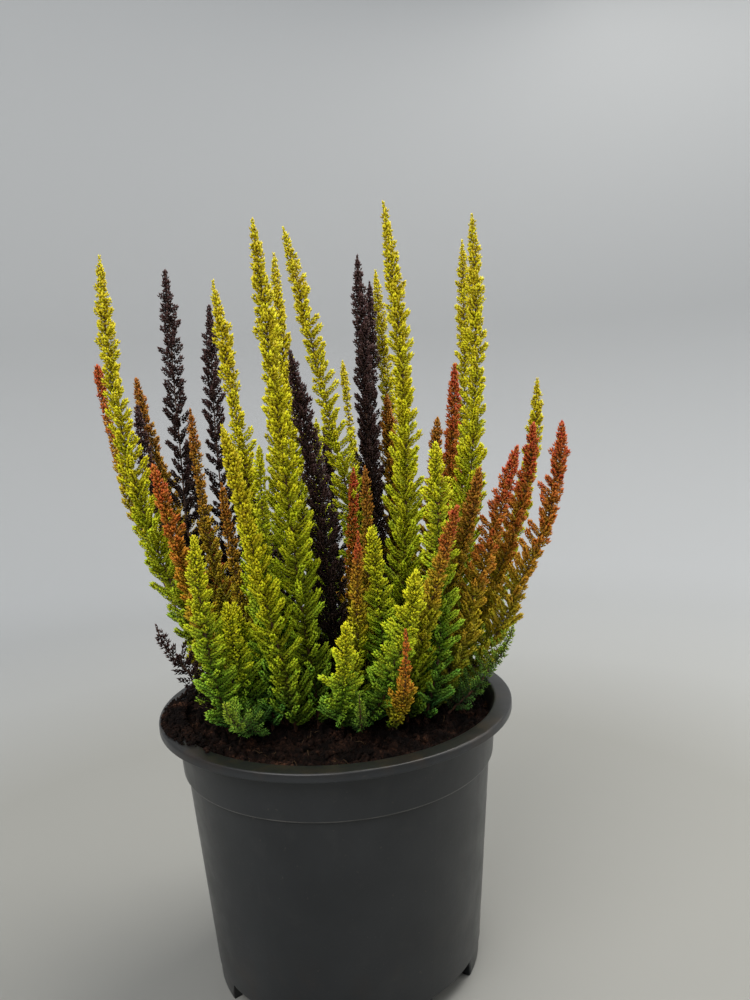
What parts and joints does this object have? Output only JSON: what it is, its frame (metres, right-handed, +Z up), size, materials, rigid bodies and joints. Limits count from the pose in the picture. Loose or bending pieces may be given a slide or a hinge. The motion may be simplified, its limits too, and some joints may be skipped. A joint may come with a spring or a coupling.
{
  "type": "potted heather",
  "caption": "Potted heather: upright leafy shoots, gold, green, dark and red, in dark soil in a round black nursery pot with a rolled lip and feet.",
  "frame": {"origin": "on the floor under the middle of the object's box, which is within half a millimetre of the pot's axis", "axes": "+Z up along the pot's axis; the front of the plant, as in the picture, faces -Y; +X to the right seen from the front"},
  "size_m": [0.2322, 0.1707, 0.358],
  "materials": {
    "pot_plastic": "satin charcoal black moulded plastic, lightly dusty and scuffed",
    "soil": "moist dark brown peat soil with lumps and fine light fibres",
    "gold_leaves": "golden yellow tips that turn yellow green down the shoot",
    "green_leaves": "soft fresh green, yellower at the tips",
    "dark_leaves": "near-black purple brown small buds on open side shoots",
    "red_leaves": "brick red and orange tips that turn olive down the shoot"
  },
  "bodies": {
    "root": {"pot": "pot_plastic", "shoot_dark_01": "dark_leaves", "shoot_dark_02": "dark_leaves", "shoot_dark_03": "dark_leaves", "shoot_dark_04": "dark_leaves", "shoot_dark_05": "dark_leaves", "shoot_dark_06": "dark_leaves", "shoot_dark_07": "dark_leaves", "shoot_dark_08": "dark_leaves", "shoot_dark_09": "dark_leaves", "shoot_dark_10": "dark_leaves", "shoot_gold_01": "gold_leaves", "shoot_gold_02": "gold_leaves", "shoot_gold_03": "gold_leaves", "shoot_gold_04": "gold_leaves", "shoot_gold_05": "gold_leaves", "shoot_gold_06": "gold_leaves", "shoot_gold_07": "gold_leaves", "shoot_gold_08": "gold_leaves", "shoot_gold_09": "gold_leaves", "shoot_gold_10": "gold_leaves", "shoot_gold_11": "gold_leaves", "shoot_gold_12": "gold_leaves", "shoot_gold_13": "gold_leaves", "shoot_gold_14": "gold_leaves", "shoot_green_01": "green_leaves", "shoot_green_02": "green_leaves", "shoot_green_03": "green_leaves", "shoot_green_04": "green_leaves", "shoot_green_05": "green_leaves", "shoot_green_06": "green_leaves", "shoot_green_07": "green_leaves", "shoot_green_08": "green_leaves", "shoot_green_09": "green_leaves", "shoot_green_10": "green_leaves", "shoot_green_11": "green_leaves", "shoot_green_12": "green_leaves", "shoot_green_13": "green_leaves", "shoot_green_14": "green_leaves", "shoot_red_01": "red_leaves", "shoot_red_02": "red_leaves", "shoot_red_03": "red_leaves", "shoot_red_04": "red_leaves", "shoot_red_05": "red_leaves", "shoot_red_06": "red_leaves", "shoot_red_07": "red_leaves", "shoot_red_08": "red_leaves", "shoot_red_09": "red_leaves", "shoot_red_10": "red_leaves", "shoot_red_11": "red_leaves", "shoot_red_12": "red_leaves", "shoot_red_13": "red_leaves", "shoot_red_14": "red_leaves", "shoot_red_15": "red_leaves", "shoot_red_16": "red_leaves", "shoot_red_17": "red_leaves", "shoot_red_18": "red_leaves", "shoot_red_19": "red_leaves", "shoot_red_20": "red_leaves", "soil": "soil"}
  },
  "joints": []
}
